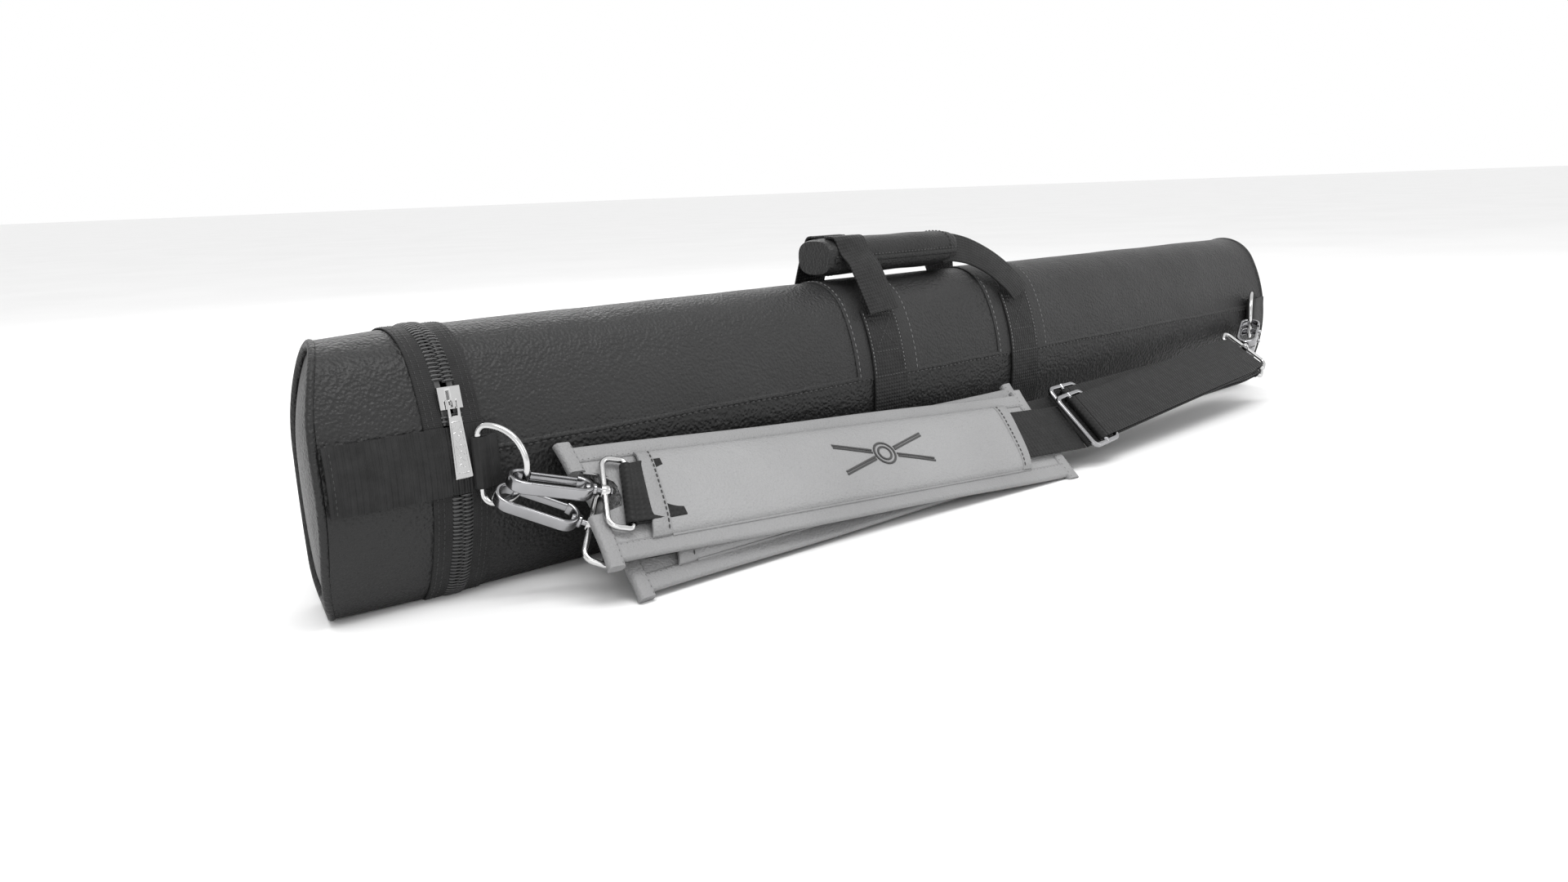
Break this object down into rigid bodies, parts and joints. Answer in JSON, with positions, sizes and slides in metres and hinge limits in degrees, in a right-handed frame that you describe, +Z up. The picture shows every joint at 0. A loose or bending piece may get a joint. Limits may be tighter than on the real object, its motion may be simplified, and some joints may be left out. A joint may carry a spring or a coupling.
{
  "type": "cue case",
  "caption": "Long stiff oval cue case with a zipped hinged lid, padded carry handle, D-rings and clip-on padded shoulder straps",
  "frame": {"origin": "middle of the flat it rests on", "axes": "+X from the lid end to the base end, +Y away from the side with the straps, +Z up"},
  "size_m": [0.872, 0.1613, 0.1651],
  "materials": {
    "black_vinyl": "grained synthetic leather, satin",
    "stiff_board": "hard board",
    "lining": "brushed fabric",
    "zip_coil": "nylon coil",
    "zip_tape": "woven tape",
    "ribbed_ribbon": "ribbed grosgrain",
    "plated_zip": "polished plating",
    "plated_wire": "polished plating",
    "plated_steel": "dark nickel plating",
    "grey_vinyl": "soft grey synthetic leather",
    "handle_cover": "padded fabric cover",
    "black_webbing": "woven webbing"
  },
  "bodies": {
    "case": {"lower_cover": "black_vinyl", "upper_cover": "black_vinyl", "case_shell": "stiff_board", "case_lining": "lining", "base_cap": "stiff_board", "base_pad": "lining", "base_panel": "black_vinyl", "base_piping": "black_vinyl", "case_zip_tape": "zip_tape", "case_zip_coil": "zip_coil", "upper_shelf": "stiff_board", "lower_shelf": "stiff_board", "butt_divider_upright": "stiff_board", "butt_divider_sides": "stiff_board", "upper_shaft_dividers": "stiff_board", "lower_shaft_dividers": "stiff_board", "case_ribbon": "ribbed_ribbon", "lid_ring_tab": "ribbed_ribbon", "base_ring_tab": "ribbed_ribbon", "front_handle_band": "black_webbing", "rear_handle_band": "black_webbing", "front_handle_strap": "black_webbing", "rear_handle_strap": "black_webbing"},
    "lid": {"lid_cover": "black_vinyl", "lid_shell": "stiff_board", "lid_lining": "lining", "lid_end_panel": "black_vinyl", "lid_piping": "black_vinyl", "lid_zip_tape": "zip_tape", "lid_zip_coil": "zip_coil", "lid_ribbon": "ribbed_ribbon"},
    "zip_slider": {"zip_slider": "plated_zip"},
    "zip_pull": {"zip_pull": "plated_zip"},
    "handle": {"handle_grip": "handle_cover", "near_handle_legs": "black_webbing", "far_handle_legs": "black_webbing"},
    "lid_ring": {"lid_end_ring": "plated_wire"},
    "base_ring": {"base_end_ring": "plated_wire"},
    "front_strap": {"front_strap_webbing": "black_webbing", "front_lid_eye": "plated_steel", "front_base_eye": "plated_steel"},
    "front_pad": {"front_strap_pad": "grey_vinyl", "front_strap_sleeve": "grey_vinyl"},
    "front_glide": {"front_strap_glide": "plated_steel", "front_strap_tail": "black_webbing"},
    "front_lid_claw": {"front_lid_claw": "plated_steel"},
    "front_lid_gate": {"front_lid_gate": "plated_steel"},
    "front_base_claw": {"front_base_claw": "plated_steel"},
    "front_base_gate": {"front_base_gate": "plated_steel"},
    "rear_strap": {"rear_strap_webbing": "black_webbing", "rear_lid_eye": "plated_steel", "rear_base_eye": "plated_steel"},
    "rear_pad": {"rear_strap_pad": "grey_vinyl", "rear_strap_sleeve": "grey_vinyl"},
    "rear_glide": {"rear_strap_glide": "plated_steel", "rear_strap_tail": "black_webbing"},
    "rear_lid_claw": {"rear_lid_claw": "plated_steel"},
    "rear_lid_gate": {"rear_lid_gate": "plated_steel"},
    "rear_base_claw": {"rear_base_claw": "plated_steel"},
    "rear_base_gate": {"rear_base_gate": "plated_steel"}
  },
  "joints": [
    {"name": "lid_open", "type": "hinge", "parent": "case", "child": "lid", "pos_m": [-0.367, -0.0505, 0.06628], "axis": [0, 0, 1], "range_deg": [0, 100]},
    {"name": "zip_slide", "type": "hinge", "parent": "case", "child": "zip_slider", "pos_m": [-0.367, 0, 0.10118], "axis": [-1, 0, 0], "range_deg": [0, 150]},
    {"name": "zip_pull_lift", "type": "hinge", "parent": "zip_slider", "child": "zip_pull", "pos_m": [-0.367, -0.04127, 0.1039], "axis": [-1, 0, 0], "range_deg": [0, 120]},
    {"name": "handle_lift", "type": "slide", "parent": "case", "child": "handle", "axis": [0, 0, 1], "range_m": [0, 0.01]},
    {"name": "lid_ring_swing", "type": "hinge", "parent": "case", "child": "lid_ring", "pos_m": [-0.358, -0.04665, 0.07128], "axis": [0, 0, 1], "range_deg": [-4, 4]},
    {"name": "base_ring_swing", "type": "hinge", "parent": "case", "child": "base_ring", "pos_m": [0.403, -0.04665, 0.07128], "axis": [0, 0, 1], "range_deg": [-4, 4]},
    {"name": "front_strap_swing", "type": "hinge", "parent": "case", "child": "front_strap", "pos_m": [-0.34436, -0.06476, 0.06304], "axis": [-0.9999, -0.0107, 0], "range_deg": [0, 2.5]},
    {"name": "front_pad_slide", "type": "slide", "parent": "front_strap", "child": "front_pad", "axis": [0.9973, -0.0448, -0.0585], "range_m": [0, 0.012]},
    {"name": "front_glide_slide", "type": "slide", "parent": "front_strap", "child": "front_glide", "axis": [0.9958, 0.0729, 0.0551], "range_m": [-0.015, 0.015]},
    {"name": "front_lid_swivel", "type": "hinge", "parent": "front_strap", "child": "front_lid_claw", "pos_m": [-0.34436, -0.06476, 0.06304], "axis": [0.93, -0.2572, -0.2626], "range_deg": [-6, 6]},
    {"name": "front_lid_gate_open", "type": "hinge", "parent": "front_lid_claw", "child": "front_lid_gate", "pos_m": [-0.31729, -0.06502, 0.05785], "axis": [0.1756, -0.3167, 0.9321], "range_deg": [0, 15], "stiffness_Nm_per_rad": 0.02, "springref_deg": -11.46},
    {"name": "front_base_swivel", "type": "hinge", "parent": "front_strap", "child": "front_base_claw", "pos_m": [0.3828, -0.05694, 0.06304], "axis": [-0.8708, -0.3603, -0.3345], "range_deg": [-6, 6]},
    {"name": "front_base_gate_open", "type": "hinge", "parent": "front_base_claw", "child": "front_base_gate", "pos_m": [0.36246, -0.07315, 0.05392], "axis": [-0.2962, -0.1588, 0.9419], "range_deg": [0, 15], "stiffness_Nm_per_rad": 0.02, "springref_deg": -11.46},
    {"name": "rear_strap_swing", "type": "hinge", "parent": "case", "child": "rear_strap", "pos_m": [-0.34912, -0.05843, 0.0544], "axis": [-1, -0.0069, 0], "range_deg": [0, 2.5]},
    {"name": "rear_pad_slide", "type": "slide", "parent": "rear_strap", "child": "rear_pad", "axis": [0.9999, 0.0103, -0.0016], "range_m": [0, 0.012]},
    {"name": "rear_glide_slide", "type": "slide", "parent": "rear_strap", "child": "rear_glide", "axis": [0.9994, 0.0295, 0.0169], "range_m": [-0.015, 0.015]},
    {"name": "rear_lid_swivel", "type": "hinge", "parent": "rear_strap", "child": "rear_lid_claw", "pos_m": [-0.34912, -0.05843, 0.0544], "axis": [0.8016, -0.4254, -0.4201], "range_deg": [-6, 6]},
    {"name": "rear_lid_gate_open", "type": "hinge", "parent": "rear_lid_claw", "child": "rear_lid_gate", "pos_m": [-0.32361, -0.06459, 0.04599], "axis": [0.1374, -0.5528, 0.8219], "range_deg": [0, 15], "stiffness_Nm_per_rad": 0.02, "springref_deg": -11.46},
    {"name": "rear_base_swivel", "type": "hinge", "parent": "rear_strap", "child": "rear_base_claw", "pos_m": [0.38986, -0.05335, 0.0544], "axis": [-0.8887, -0.3349, -0.3131], "range_deg": [-6, 6]},
    {"name": "rear_base_gate_open", "type": "hinge", "parent": "rear_base_claw", "child": "rear_base_gate", "pos_m": [0.36901, -0.06883, 0.04519], "axis": [-0.2456, -0.229, 0.9419], "range_deg": [0, 15], "stiffness_Nm_per_rad": 0.02, "springref_deg": -11.46}
  ],
  "couplings": [
    {"joint": "rear_strap_swing", "follows": "front_strap_swing", "ratio": 1}
  ]
}
